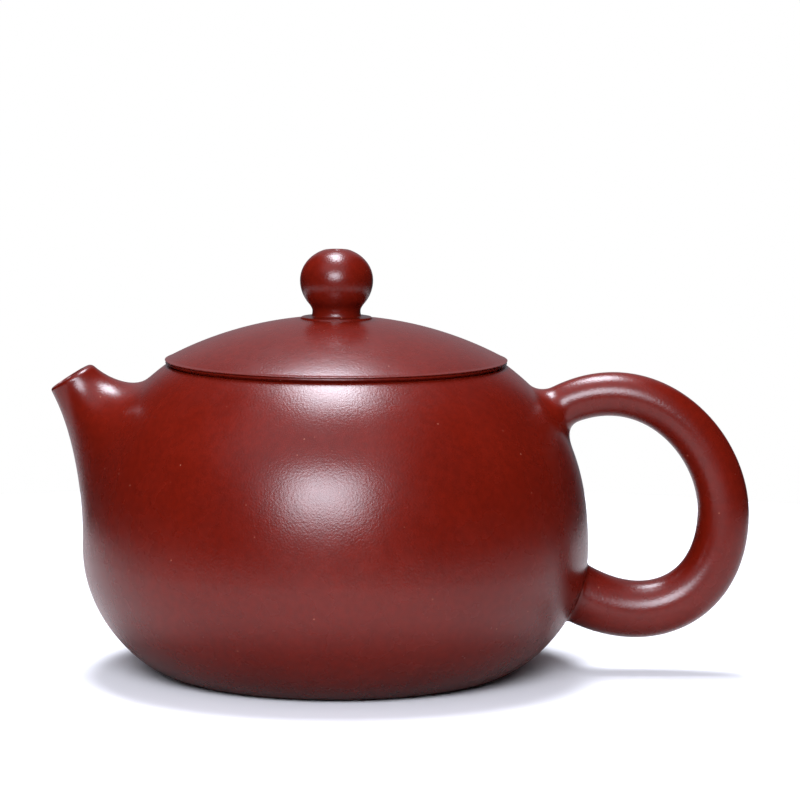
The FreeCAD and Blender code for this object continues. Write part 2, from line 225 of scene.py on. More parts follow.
def turn(profile, angles=None):
    """The patch that a profile of (radius, height) sweeps round the axis, with its true normals."""
    if angles is None:
        angles = np.linspace(0, 2 * math.pi, AROUND + 1)
    angles = np.broadcast_to(angles, (len(profile), np.shape(angles)[-1]))
    along = unit(slopes(profile))
    cos, sin = np.cos(angles), np.sin(angles)
    radius, height = profile[:, :1], profile[:, 1:]
    points = np.stack([radius * cos, radius * sin, height + 0 * cos], axis=-1)
    out, up = along[:, 1:], -along[:, :1]
    normals = np.stack([out * cos, out * sin, up + 0 * cos], axis=-1)
    return points, normals


def sheet(points):
    """A patch of rows of points, with normals from its own slopes. Its rows are closed loops."""
    ring = points[:, :-1]
    around = np.roll(ring, -1, axis=1) - np.roll(ring, 1, axis=1)
    step = np.linalg.norm(np.diff(points, axis=0), axis=-1).mean(axis=1)
    place = np.r_[0, np.cumsum(np.maximum(step, 1e-9))]
    order = 2 if len(points) > 2 else 1
    along = np.gradient(ring, place, axis=0, edge_order=order)
    normals = unit(np.cross(around, along))
    return points, np.concatenate([normals, normals[:, :1]], axis=1)


def build(node, patches, body, materials):
    """One closed piece from patches of (points, normals, material index), welded where they meet."""
    name = node + "_clay"
    corners, normals, kinds = [], [], []
    for points, normal, kind in patches:
        for stack, out in ((points, corners), (normal, normals)):
            quads = np.stack([stack[:-1, :-1], stack[:-1, 1:], stack[1:, 1:], stack[1:, :-1]], axis=2)
            out.append(quads.reshape(-1, 4, 3))
        kinds.append(np.full(len(corners[-1]), kind))
    counts = [len(c) for c in corners]
    corners, normals, kinds = np.concatenate(corners), np.concatenate(normals), np.concatenate(kinds)
    keys = np.round(corners.reshape(-1, 3) / WELD).astype(np.int64)
    _, first, index = np.unique(keys, axis=0, return_index=True, return_inverse=True)
    index = index.reshape(-1, 4)
    verts = corners.reshape(-1, 3)[first]
    flips = outward(verts, index, counts)
    faces, loops, slots = [], [], []
    for quad, normal, kind, flip in zip(index.tolist(), normals, kinds.tolist(), flips):
        keep = [k for k in range(4) if quad[k] != quad[k - 1]]
        if len(keep) < 3:
            continue
        if flip:
            keep.reverse()
        faces.append([quad[k] for k in keep])
        loops.append(normal[keep])
        slots.append(kind)
    mesh = bpy.data.meshes.new(name)
    mesh.from_pydata(verts.tolist(), [], faces)
    mesh.polygons.foreach_set("material_index", slots)
    mesh.polygons.foreach_set("use_smooth", [True] * len(faces))
    facing = np.zeros(len(mesh.polygons) * 3)
    mesh.polygons.foreach_get("normal", facing)
    facing = facing.reshape(-1, 3)
    counts_per_face = [len(f) for f in faces]
    facing = np.repeat(facing, counts_per_face, axis=0)
    loops = np.concatenate(loops)
    same = np.sign(np.einsum("ij,ij->i", facing, loops))
    weak = np.linalg.norm(loops, axis=1) < 0.5
    loops = np.where((same == 0)[:, None] | weak[:, None], facing, loops * same[:, None])
    mesh.normals_split_custom_set(loops.tolist())
    mesh.validate()
    piece = bpy.data.objects.new(name, mesh)
    bpy.context.scene.collection.objects.link(piece)
    for material in materials:
        mesh.materials.append(material)
    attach(piece, body)
    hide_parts(node)
    return piece


def outward(verts, index, counts):
    """Whether each face has to be turned over so that the closed piece faces outwards."""
    mesh = bmesh.new()
    made = [mesh.verts.new(v) for v in verts]
    patch_of, faces = [], []
    start = 0
    for patch, count in enumerate(counts):
        for quad in index[start:start + count].tolist():
            ring = [quad[k] for k in range(4) if quad[k] != quad[k - 1]]
            if len(ring) >= 3 and len(set(ring)) == len(ring):
                try:
                    faces.append(mesh.faces.new([made[k] for k in ring]))
                    patch_of.append(patch)
                except ValueError:
                    pass
        start += count
    mesh.normal_update()
    before = [f.normal.copy() for f in faces]
    bmesh.ops.recalc_face_normals(mesh, faces=mesh.faces)
    votes = np.zeros(len(counts))
    for face, old, patch in zip(faces, before, patch_of):
        votes[patch] += face.normal.dot(old)
    loose = sum(1 for e in mesh.edges if len(e.link_faces) != 2)
    if loose:
        print("open or shared edges:", loose)
    mesh.free()
    return np.repeat(votes < 0, counts)


# ---- Body surface ------------------------------------------------------------------------------

def surface_table():
    """Radius, height and normal along the body's outside, from the foot to the mouth."""
    foot, belly = np.array([FOOT_R, 0]), np.array([BELLY_R, BELLY_Z])
    mouth = np.array([MOUTH_EDGE_R, SEAT_Z])
    along = np.array([math.cos(SHOULDER_SLOPE), -math.sin(SHOULDER_SLOPE)])
    down, up = np.array([0, -BELLY_PULL_DOWN]), np.array([0, BELLY_PULL_UP])
    lower = bezier([foot, foot + FOOT_PULL, belly + down, belly], 3000)
    upper = bezier([belly, belly + up, mouth + along * SHOULDER_PULL, mouth], 3000)
    points = chain(lower, upper)
    run = unit(slopes(points))
    return points, np.stack([run[:, 1], -run[:, 0]], axis=1)


OUTSIDE, OUTSIDE_NORMAL = surface_table()
INSIDE = OUTSIDE - OUTSIDE_NORMAL * WALL


def radius_at(table, height):
    return np.interp(height, table[:, 1], table[:, 0])


def on_table(table, heights):
    """The profile points of a surface at the given heights."""
    return np.stack([radius_at(table, heights), np.asarray(heights)], axis=1)


def even_rows(table, low, high, rows):
    """Profile points between two heights, evenly spaced along the surface."""
    inside = table[(table[:, 1] > low) & (table[:, 1] < high)]
    points = np.concatenate([on_table(table, [low]), inside, on_table(table, [high])])
    away = np.r_[0, np.cumsum(np.linalg.norm(np.diff(points, axis=0), axis=1))]
    place = np.linspace(0, away[-1], rows + 1)
    return np.stack([np.interp(place, away, points[:, 0]), np.interp(place, away, points[:, 1])], axis=1)


def surface_normals(table, points):
    """Normals of the body's surface at points on it."""
    away = np.hypot(points[..., 0], points[..., 1])
    out = np.interp(points[..., 2], table[:, 1], OUTSIDE_NORMAL[:, 0])
    up = np.interp(points[..., 2], table[:, 1], OUTSIDE_NORMAL[:, 1])
    return np.stack([out * points[..., 0] / away, out * points[..., 1] / away, up], axis=-1)


def meet(table, start, step, near, far):
    """Where lines from start along step come out of a surface, between two distances."""
    low, high = np.full(start.shape[:-1], near), np.full(start.shape[:-1], far)
    for _ in range(46):
        middle = (low + high) / 2
        points = start + step * middle[..., None]
        inside = np.hypot(points[..., 0], points[..., 1]) < radius_at(table, points[..., 2])
        low, high = np.where(inside, middle, low), np.where(inside, high, middle)
    return start + step * low[..., None]


def root_line(angles, part=1.0):
    """Points of the spout's oval root, square to its axis. A part of 0 is the edge of its hole."""
    width = ROOT_HALF_WIDTH * (1 + ROOT_EGG * np.cos(angles))
    across = ROOT_MIDDLE + ROOT_HALF_LENGTH * np.cos(angles)
    side = width * np.sin(angles)
    hole_across = OPENING_MIDDLE + OPENING_R * np.cos(angles)
    hole_side = OPENING_R * np.sin(angles)
    across = hole_across + (across - hole_across) * part
    side = hole_side + (side - hole_side) * part
    return across[..., None] * ROOT_ACROSS + side[..., None] * Y


def root_on(table, angles, part=1.0):
    return meet(table, root_line(angles, part), ROOT_AXIS, 30 * mm, 90 * mm)


ROUND = np.linspace(0, 2 * math.pi, SPOUT_AROUND + 1)
HALF = ROUND[:SPOUT_AROUND // 2 + 1]
LID_SIDE = (1 + np.cos(ROUND)) / 2


# ---- Body pieces -------------------------------------------------------------------------------

def mouth_joint():
    """The joint of the wall and the mouth ring, square to the wall: its outer and inner points."""
    past = np.argmax((OUTSIDE[:, 1] > BELLY_Z) & (OUTSIDE[:, 0] < MOUTH_JOINT_R))
    return OUTSIDE[past], INSIDE[past]


JOINT_OUT, JOINT_IN = mouth_joint()


def wall_rows(table, bottom, top):
    """The wall's surface as three bands: under the spout's hole, beside it and over it."""
    edge = root_on(table, HALF)
    heights = edge[::-1, 2]
    gap = math.pi - np.arctan2(edge[::-1, 1], edge[::-1, 0])
    gap[0] = gap[-1] = 0
    below = even_rows(table, bottom, heights[0], 36)
    above = even_rows(table, heights[-1], top, 6)
    full = math.pi + np.linspace(0, 2 * math.pi, AROUND + 1)
    share = np.linspace(0, 1, AROUND + 1)
    beside = math.pi + gap[:, None] + (2 * math.pi - 2 * gap[:, None]) * share
    bands = []
    for profile, angles in ((below, full), (on_table(table, heights), beside), (above, full)):
        points = turn(profile, angles)[0]
        bands.append((points, surface_normals(table, points)))
    return bands, edge


def body_wall():
    outside, edge_out = wall_rows(OUTSIDE, 0, JOINT_OUT[1])
    inside, edge_in = wall_rows(INSIDE, INSIDE[0, 1], JOINT_IN[1])
    ring = math.pi + np.linspace(0, 2 * math.pi, AROUND + 1)
    floor_z = floor_height(BASE_R)
    patches = [(p, n, 0) for p, n in outside] + [(p, n, 1) for p, n in inside]
    patches.append(turn(np.array([[BASE_R, 0], [FOOT_R, 0]]), ring) + (0,))
    patches.append(turn(np.array([[BASE_R, 0], [BASE_R, floor_z]]), ring) + (1,))
    floor = [(r, floor_height(r)) for r in np.linspace(BASE_R, INSIDE[0, 0], 4)]
    patches.append(turn(np.array(floor), ring) + (1,))
    patches.append(turn(np.array([JOINT_OUT, JOINT_IN]), ring) + (1,))
    for side in (1, -1):
        cut = np.stack([edge_out, edge_in]) * (1, side, 1)
        flat = np.tile(-ROOT_ACROSS, cut.shape[:2] + (1,))
        patches.append((cut, flat, 1))
    return build("body_wall", patches, "pot", [CLAY, CLAY_INSIDE])


def floor_height(radius):
    """The floor's height: a shallow rise towards the middle."""
    edge_r, edge_z = INSIDE[0]
    return edge_z + FLOOR_RISE * (1 - (radius / edge_r) ** 2)


def base_disc():
    ball = (BASE_HOLLOW_R ** 2 + BASE_HOLLOW ** 2) / (2 * BASE_HOLLOW)
    radii = np.linspace(0, BASE_HOLLOW_R, 30)
    hollow = np.array([(r, BASE_HOLLOW - ball + math.sqrt(ball ** 2 - r ** 2)) for r in radii])
    soft = hollow[hollow[:, 0] < BASE_HOLLOW_R - BASE_ROUND]
    corner = bend(soft[-1], (BASE_HOLLOW_R, 0), (BASE_HOLLOW_R + BASE_ROUND / 2, 0), 8)
    under = chain(soft, corner, straight(corner[-1], (BASE_R, 0), 2))
    side = straight((BASE_R, 0), (BASE_R, floor_height(BASE_R)))
    floor = np.array([(r, floor_height(r)) for r in np.linspace(BASE_R, 0, 24)])
    patches = [turn(under) + (0,), turn(side) + (1,), turn(floor) + (1,)]
    return build("base_disc", patches, "pot", [CLAY, CLAY_INSIDE])


def mouth_ring():
    seat = np.array([MOUTH_EDGE_R, SEAT_Z])
    skin = OUTSIDE[(OUTSIDE[:, 1] >= JOINT_OUT[1]) & (OUTSIDE[:, 0] > MOUTH_EDGE_R + MOUTH_ROUND)][::12]
    skin = chain([JOINT_OUT], skin) if np.linalg.norm(skin[0] - JOINT_OUT) > WELD else skin
    edge = bend(skin[-1], seat, seat - (MOUTH_ROUND, 0), 8)
    bore_top = np.array([MOUTH_BORE_R, SEAT_Z])
    bore_low = np.array([MOUTH_BORE_R, SEAT_Z - MOUTH_RING_DEPTH])
    throat = rounded([edge[-1], bore_top, bore_low, INSIDE[-1]], [MOUTH_ROUND, MOUTH_ROUND])
    under = INSIDE[(INSIDE[:, 1] >= JOINT_IN[1]) & (OUTSIDE[:, 0] < MOUTH_JOINT_R)][::-12]
    under = np.concatenate([under, [JOINT_IN]]) if np.linalg.norm(under[-1] - JOINT_IN) > WELD else under
    patches = [turn(chain(skin, edge, throat)) + (0,), turn(chain(throat[-1:], under)) + (1,)]
    patches.append(turn(np.array([JOINT_IN, JOINT_OUT])) + (1,))
    return build("mouth_ring", patches, "pot", [CLAY, CLAY_INSIDE])


# ---- Spout -------------------------------------------------------------------------------------

def tip_ring(radius, shift=0.0):
    """A ring in the tip's plane, about the tip's centre or shifted away from the lid."""
    across = np.array([math.cos(TIP_TILT), 0, math.sin(TIP_TILT)])
    radius = np.reshape(radius, (-1, 1))
    return TIP - across * shift + radius * (np.cos(ROUND)[:, None] * across + np.sin(ROUND)[:, None] * Y)


def skin_rows(places):
    """The spout's skin: rows from the body, where it is tangent, towards the tip's plane."""
    start, end = root_on(OUTSIDE, ROUND), tip_ring(TIP_R)
    step = 1e-3
    around = root_on(OUTSIDE, ROUND + step) - root_on(OUTSIDE, ROUND - step)
    leave = unit(np.cross(surface_normals(OUTSIDE, start), around))
    axis = np.array([-math.sin(TIP_TILT), 0, math.cos(TIP_TILT)])
    side = np.sin(ROUND) ** 2
    flare = TIP_FLARE + TIP_FLARE_TOP * np.cos(ROUND) - TIP_FLARE_SIDE * side
    arrive = unit(axis - unit(end - TIP) * flare[:, None])
    reach = np.linalg.norm(end - start, axis=1, keepdims=True)
    root_pull = ROOT_PULL + ROOT_PULL_SIDE * side
    tip_pull = TIP_PULL_LOW + (TIP_PULL_HIGH - TIP_PULL_LOW) * LID_SIDE - TIP_PULL_SIDE * side
    return flow(start, leave * reach * root_pull[:, None], arrive * reach * tip_pull[:, None], end, places)


def channel_rows(steps):
    """Rings down the pouring channel, from just under the lip to the middle of its root."""
    centres = np.array([c for c, _ in CHANNEL]) * mm
    radii = np.array([r for _, r in CHANNEL]) * mm
    place = np.linspace(len(CHANNEL) - 1.15, 0, steps)
    knots = np.arange(len(CHANNEL))
    centre = np.stack([np.interp(place, knots, centres[:, k]) for k in range(3)], axis=1)
    radius = np.interp(place, knots, radii)
    along = unit(slopes(centre))
    across = np.cross(along, Y)
    across *= np.sign(across[:, :1])
    cos, sin = np.cos(ROUND)[None, :, None], np.sin(ROUND)[None, :, None]
    return centre[:, None] + radius[:, None, None] * (cos * across[:, None] + sin * Y)


def spout():
    share = 1 - (1 - np.linspace(0, 1, 60)) ** SKIN_CROWD
    skin = skin_rows(share[:, None] * (SKIN_END - SKIN_END_LESS * LID_SIDE))
    bore_r = CHANNEL[-1][1] * mm
    tube = channel_rows(26)
    edge = tip_ring(TIP_R - LIP_ROUND - LIP_ROUND_MORE * LID_SIDE)
    bore_edge = tip_ring(bore_r + LIP_ROUND / 2, BORE_SHIFT)
    lip = chain(
        skin[-1:],
        bend(skin[-1], tip_ring(TIP_R), edge, 10),
        straight(edge, bore_edge, 2),
        bend(bore_edge, tip_ring(bore_r, BORE_SHIFT), tube[0], 6),
    )
    outer, outer_normal = sheet(chain(skin, lip))
    start_normal = surface_normals(OUTSIDE, skin[0])
    sign = np.sign(np.einsum("ij,ij->i", outer_normal[0], start_normal).mean())
    outer_normal[0] = start_normal * sign
    opening = root_on(INSIDE, ROUND, 0.0)
    hollow = sheet(chain(tube, straight(tube[-1], opening, 6)))
    parts = [root_on(INSIDE, ROUND, part) for part in np.linspace(0, 1, 8)]
    inner = np.stack(parts)
    edge = np.stack([inner[-1], skin[0]])
    # The channel takes the bore's clay, painted dark as shade (slot 2).
    patches = [(outer, outer_normal, 0), hollow + (2,), (inner, surface_normals(INSIDE, inner), 1)]
    patches.append(sheet(edge) + (1,))
    return build("spout", patches, "pot", [CLAY, CLAY_INSIDE, CLAY_BORE_PAINTED_SHADE])


# ---- Handle ------------------------------------------------------------------------------------

def grip_line():
    """The handle's centre line, its outward side and its radius, with the distance along it."""
    top = bezier([GRIP_TOP, GRIP_TOP + GRIP_TOP_PULL, GRIP_OUT + Z * GRIP_OUT_PULL_UP, GRIP_OUT], 600)
    low = bezier([GRIP_OUT, GRIP_OUT - Z * GRIP_OUT_PULL_DOWN, GRIP_END + GRIP_END_PULL, GRIP_END], 600)
    curve = chain(top, low)
    radius = np.interp(np.arange(len(curve)), [0, 600, 1200], [GRIP_TOP_R, GRIP_OUT_R, GRIP_END_R])
    ends = unit(slopes(curve))[[0, -1]]
    before = straight(GRIP_TOP - ends[0] * GRIP_ROOT, GRIP_TOP, 60)
    after = straight(GRIP_END, GRIP_END + ends[1] * GRIP_ROOT, 60)
    curve = chain(before, curve, after)
    radius = np.r_[np.full(60, GRIP_TOP_R), radius, np.full(60, GRIP_END_R)]
    away = np.r_[0, np.cumsum(np.linalg.norm(np.diff(curve, axis=0), axis=1))]
    side = unit(np.cross(unit(slopes(curve)), -Y))
    return away, curve, side, radius


def handle():
    away, curve, side, radius = grip_line()
    turns = np.linspace(0, 2 * math.pi, GRIP_AROUND + 1)

    def bar(places):
        """Points of the bar's surface at distances along it, one for each turn."""
        centre = np.stack([np.interp(places, away, curve[:, k]) for k in range(3)], axis=-1)
        outwards = np.stack([np.interp(places, away, side[:, k]) for k in range(3)], axis=-1)
        size = np.interp(places, away, radius)[..., None]
        return centre + size * (np.cos(turns)[:, None] * outwards + np.sin(turns)[:, None] * Y)

    def wall_place(low, high):
        """How far along the bar each turn of it comes out of the body: low is inside, high outside."""
        low, high = np.full(len(turns), low), np.full(len(turns), high)
        for _ in range(40):
            middle = (low + high) / 2
            points = bar(middle)
            inside = np.hypot(points[:, 0], points[:, 1]) < radius_at(OUTSIDE, points[:, 2])
            low, high = np.where(inside, middle, low), np.where(inside, high, middle)
        return low

    def fillet(place, reach, sense):
        """Rows from the wall up to the bar, rounded over the reach, and where on the bar they end."""
        corner, end = bar(place), bar(place + sense * reach)
        centre = corner[:-1].mean(axis=0)
        normal = surface_normals(OUTSIDE, corner)
        spread = unit(corner - centre - normal * np.einsum("ij,ij->i", corner - centre, normal)[:, None])
        foot = corner + spread * reach[:, None]
        size = radius_at(OUTSIDE, foot[:, 2]) / np.hypot(foot[:, 0], foot[:, 1])
        foot = foot * np.stack([size, size, np.ones_like(size)], axis=1)
        normal = surface_normals(OUTSIDE, foot)
        leave = unit(corner - foot - normal * np.einsum("ij,ij->i", corner - foot, normal)[:, None])
        arrive = unit(bar(place + sense * (reach + 0.1 * mm)) - end)
        pull = FILLET_PULL * reach[:, None]
        share = np.linspace(0, 1, 19)[:, None]
        return flow(foot, leave * pull, arrive * pull, end, share), place + sense * reach

    inside = (1 - np.cos(turns)) / 2
    top_reach = TOP_FILLET + (TOP_FILLET_INSIDE - TOP_FILLET) * inside
    end_reach = np.full(len(turns), END_FILLET)
    first, first_place = fillet(wall_place(0, NEAR_END), top_reach, 1)
    last, last_place = fillet(wall_place(away[-1], away[-1] - NEAR_END), end_reach, -1)
    shares = np.linspace(0, 1, 161)
    rows = np.stack([bar(first_place + (last_place - first_place) * share) for share in shares])
    skin, normals = sheet(chain(first, rows, last[::-1]))
    for k in range(END_ROWS):
        for row in (k, -1 - k):
            wall = surface_normals(OUTSIDE, skin[row])
            wall *= np.sign(np.einsum("ij,ij->i", wall, normals[row]).mean())
            normals[row] = unit(normals[row] * k / END_ROWS + wall * (1 - k / END_ROWS))
    patches = [(skin, normals, 0)]
    for ring in (skin[0], skin[-1]):
        middle = np.broadcast_to(ring[:-1].mean(axis=0), ring.shape)
        cap = straight(ring, middle, 3)
        patches.append(sheet(cap) + (1,))
    return build("handle", patches, "pot", [CLAY, CLAY_INSIDE])


# ---- Lid ---------------------------------------------------------------------------------------

def sphere_arc(sphere_r, first_r, last_r, steps):
    """Points of a sphere about the dome's centre, between two distances from the axis."""
    low, high = math.asin(first_r / sphere_r), math.asin(last_r / sphere_r)
    lean = np.linspace(low, high, steps + 1)
    height = DOME_TOP_Z - DOME_SPHERE_R + sphere_r * np.cos(lean)
    return np.stack([sphere_r * np.sin(lean), height], axis=1)


def under_dome_r():
    """Where the underside of the dome comes down to the top of the seat ring."""
    under = DOME_SPHERE_R - DOME_THICK
    return math.sqrt(under ** 2 - (RING_TOP_Z - DOME_TOP_Z + DOME_SPHERE_R) ** 2)


def lid_dome():
    under_r = DOME_SPHERE_R - DOME_THICK
    top = sphere_arc(DOME_SPHERE_R, COLLAR_R, DOME_EDGE_R - DOME_LIP, 60)
    foot = np.array([DOME_EDGE_R - DOME_LIP, RING_TOP_Z])
    corner = np.array([DOME_EDGE_R, top[-1, 1] - 0.12 * mm])
    lip = chain(top[-1:], bend(top[-1], corner, (DOME_EDGE_R, corner[1] - 0.05 * mm), 6))
    lip = chain(lip, bend(lip[-1], (DOME_EDGE_R, RING_TOP_Z), foot, 8))
    vent_under = sphere_arc(under_r, VENT_R, under_dome_r(), 40)
    pocket = np.array([COLLAR_R, COLLAR_BOTTOM_Z])
    vent = np.array([[VENT_R, COLLAR_BOTTOM_Z], vent_under[0]])
    patches = [turn(chain(top, lip)) + (0,)]
    patches.append(turn(np.array([lip[-1], vent_under[-1]])) + (1,))
    patches.append(turn(vent_under) + (1,))
    patches.append(turn(vent) + (1,))
    patches.append(turn(np.array([vent[0], pocket])) + (1,))
    patches.append(turn(np.array([pocket, top[0]])) + (1,))
    return build("lid_dome", patches, "lid", [CLAY, CLAY_INSIDE])


def lid_seat_ring():
    under_r = DOME_SPHERE_R - DOME_THICK
    top = sphere_arc(under_r, FLANGE_BORE_R, under_dome_r(), 4)
    band_low = (RING_R, SEAT_Z + RELIEF)
    band_high = (RING_R, RING_TOP_Z)
    seat = rounded([(FLANGE_BORE_R, SEAT_Z), (RELIEF_R, SEAT_Z), (RELIEF_R + RELIEF, SEAT_Z + RELIEF),
                    band_low, band_high, top[-1]],
                   [0.1 * mm, 0.1 * mm, RING_ROUND, RING_ROUND])
    patches = [turn(seat) + (0,), turn(top) + (1,)]
    patches.append(turn(np.array([top[0], (FLANGE_BORE_R, SEAT_Z)])) + (1,))
    return build("lid_seat_ring", patches, "lid", [CLAY, CLAY_INSIDE])


def lid_flange():
    corners = [(FLANGE_R, SEAT_Z), (FLANGE_R, FLANGE_BOTTOM_Z), (FLANGE_BORE_R, FLANGE_BOTTOM_Z),
               (FLANGE_BORE_R, SEAT_Z)]
    ring = rounded(corners, [FLANGE_ROUND, FLANGE_ROUND])
    top = np.array([ring[-1], ring[0]])
    return build("lid_flange", [turn(ring) + (0,), turn(top) + (0,)], "lid", [CLAY_INSIDE])


def knob_collar():
    rim = sphere_arc(DOME_SPHERE_R, COLLAR_R, COLLAR_R + mm, 1)[0]
    corners = [(COLLAR_R, COLLAR_BOTTOM_Z), rim, (COLLAR_TOP_R, COLLAR_TOP_Z), (NECK_FOOT_R, NECK_FOOT_Z)]
    side = rounded(corners, [0.03 * mm, COLLAR_ROUND])
    top = np.array([(NECK_FOOT_R, NECK_FOOT_Z), (VENT_R, NECK_FOOT_Z)])
    vent = np.array([(VENT_R, NECK_FOOT_Z), (VENT_R, COLLAR_BOTTOM_Z)])
    bottom = np.array([(VENT_R, COLLAR_BOTTOM_Z), (COLLAR_R, COLLAR_BOTTOM_Z)])
    patches = [turn(side) + (0,)] + [turn(part) + (0,) for part in (top, vent, bottom)]
    return build("knob_collar", patches, "lid", [CLAY])


def ball_point(lean):
    """A point of the knob's ball, lean radians down from its top."""
    half = np.where(lean < math.pi / 2, BALL_UP, BALL_DOWN)
    return np.stack([BALL_R * np.sin(lean), BALL_Z + half * np.cos(lean)], axis=-1)


def knob():
    blend_lean = math.pi - math.asin(NECK_BLEND_R / BALL_R)
    rim_lean = math.asin(DIMPLE_R / BALL_R)
    ball = ball_point(np.linspace(blend_lean, rim_lean, 110))
    slope = np.array([BALL_R * math.cos(blend_lean), -BALL_DOWN * math.sin(blend_lean)])
    corner = ball[0] + slope * (NECK_R - ball[0, 0]) / slope[0]
    neck = chain(bend((NECK_FOOT_R, NECK_FOOT_Z), (NECK_R, NECK_FOOT_Z + 0.15 * mm), (NECK_R, NECK_Z), 10),
                 bend((NECK_R, NECK_Z), corner, ball[0], 14))
    vent_top = np.array([VENT_R, ball[-1, 1] - DIMPLE_DEPTH])
    rim = bend(ball[-6], ball[-1] + (-0.1 * mm, 0.05 * mm), (DIMPLE_R * 0.7, vent_top[1] + 0.15 * mm), 8)
    dimple = chain(rim, bend(rim[-1], (VENT_R, vent_top[1]), vent_top - (0, 0.5 * mm), 8))
    vent = np.array([dimple[-1], (VENT_R, NECK_FOOT_Z)])
    bottom = np.array([(VENT_R, NECK_FOOT_Z), (NECK_FOOT_R, NECK_FOOT_Z)])
    patches = [turn(chain(neck, ball[:-5], dimple)) + (0,), turn(vent) + (0,), turn(bottom) + (0,)]
    return build("knob", patches, "lid", [CLAY])


# ---- Clay --------------------------------------------------------------------------------------

def node(tree, kind, **values):
    made = tree.nodes.new(kind)
    for key, value in values.items():
        if key.startswith("in_"):
            made.inputs[key[3:].replace("_", " ")].default_value = value
        else:
            setattr(made, key, value)
    return made


def noise(tree, place, scale, detail, roughness=0.5):
    made = node(tree, "ShaderNodeTexNoise", in_Scale=scale, in_Detail=detail, in_Roughness=roughness)
    tree.links.new(place, made.inputs["Vector"])
    return made.outputs["Fac"]


def ramp(tree, fac, stops):
    made = tree.nodes.new("ShaderNodeValToRGB")
    made.color_ramp.elements[0].position, made.color_ramp.elements[0].color = stops[0]
    made.color_ramp.elements[1].position, made.color_ramp.elements[1].color = stops[-1]
    for position, colour in stops[1:-1]:
        made.color_ramp.elements.new(position).color = colour
    tree.links.new(fac, made.inputs["Fac"])
    return made.outputs["Color"]


def mixed(tree, fac, first, second, mode="MIX"):
    made = node(tree, "ShaderNodeMix", data_type="RGBA", blend_type=mode)
    for socket, value in (("Factor", fac), ("A", first), ("B", second)):
        target = [i for i in made.inputs if i.name == socket and i.enabled][0]
        if isinstance(value, bpy.types.NodeSocket):
            tree.links.new(value, target)
        else:
            target.default_value = value
    return [o for o in made.outputs if o.enabled][0]


def grey(value):
    return (value, value, value, 1)


def bumped(tree, height, distance, strength, before=None):
    made = node(tree, "ShaderNodeBump", in_Strength=strength, in_Distance=distance)
    tree.links.new(height, made.inputs["Height"])
    if before is not None:
        tree.links.new(before, made.inputs["Normal"])
    return made.outputs["Normal"]


MOTTLE_SCALE = 45
CLOUD_SCALE = 700
SHINE_SCALE = 160
SPECK_SCALE = 620.0
SPECK_COLOUR = (0.30, 0.09, 0.055, 1)
HAND_SCALE = 60
HAND_DEPTH = 0.1 * mm
HAND_STRENGTH = 0.25
PEEL_SCALE = 2300
PEEL_DEPTH = 0.028 * mm
CLAY_IOR = 1.45


def clay(name, dark, light, roughness, spread, grain):
    """Fired clay: mottled red, a fine orange-peel grain, a few pale sand specks, and a soft burnish."""
    material = bpy.data.materials.new(name)
    material.use_nodes = True
    tree = material.node_tree
    shader = tree.nodes["Principled BSDF"]
    place = tree.nodes.new("ShaderNodeTexCoord").outputs["Object"]
    mottle = noise(tree, place, MOTTLE_SCALE, 4, 0.55)
    colour = ramp(tree, mottle, [(0.3, dark), (0.7, light)])
    cloud = ramp(tree, noise(tree, place, CLOUD_SCALE, 3), [(0.35, grey(0.90)), (0.65, grey(1.06))])
    colour = mixed(tree, 1.0, colour, cloud, "MULTIPLY")
    cells = node(tree, "ShaderNodeTexVoronoi", feature="F1", in_Scale=SPECK_SCALE)
    tree.links.new(place, cells.inputs["Vector"])
    chosen = ramp(tree, cells.outputs["Color"], [(0.80, grey(0)), (0.84, grey(1))])
    core = ramp(tree, cells.outputs["Distance"], [(0.05, grey(1)), (0.12, grey(0))])
    speck = mixed(tree, 1.0, chosen, core, "MULTIPLY")
    colour = mixed(tree, speck, colour, SPECK_COLOUR)
    tree.links.new(colour, shader.inputs["Base Color"])
    worn = noise(tree, place, SHINE_SCALE, 3)
    shine = ramp(tree, worn, [(0.3, grey(roughness - spread)), (0.7, grey(roughness + spread))])
    tree.links.new(shine, shader.inputs["Roughness"])
    peel = noise(tree, place, PEEL_SCALE, 1, 0.6)
    hand = noise(tree, place, HAND_SCALE, 2)
    normal = bumped(tree, hand, HAND_DEPTH, HAND_STRENGTH)
    normal = bumped(tree, peel, PEEL_DEPTH, grain, normal)
    tree.links.new(normal, shader.inputs["Normal"])
    shader.inputs["IOR"].default_value = CLAY_IOR
    return material


# Each clay has a dark and a light colour, a roughness and its spread, and the strength of its grain.
CLAY = clay("fired_clay", (0.099, 0.0040, 0.0010, 1), (0.121, 0.0056, 0.0016, 1), 0.27, 0.02, 1.0)
CLAY_INSIDE = clay("fired_clay_inside", (0.150, 0.018, 0.009, 1), (0.190, 0.026, 0.013, 1), 0.62, 0.04, 0.9)
# The bore's clay is painted far darker than the outside clay: painted shade inside the spout's channel.
CLAY_BORE_PAINTED_SHADE = clay("fired_clay_bore_painted_shade", (0.030, 0.0040, 0.0020, 1), (0.040, 0.0055, 0.0030, 1), 0.60, 0.04, 0.9)
CLAY_STRAINER = clay("fired_clay_strainer", (0.150, 0.018, 0.009, 1), (0.180, 0.024, 0.012, 1), 0.66, 0.04,
                     0.9)


# ---- Making the pot ----------------------------------------------------------------------------

base_disc()
body_wall()
mouth_ring()
spout()
handle()
lid_dome()
lid_seat_ring()
lid_flange()
knob_collar()
knob()
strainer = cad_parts["spout_strainer"]
strainer.data.materials.clear()
strainer.data.materials.append(CLAY_STRAINER)


# ---- Stage, light and camera -------------------------------------------------------------------

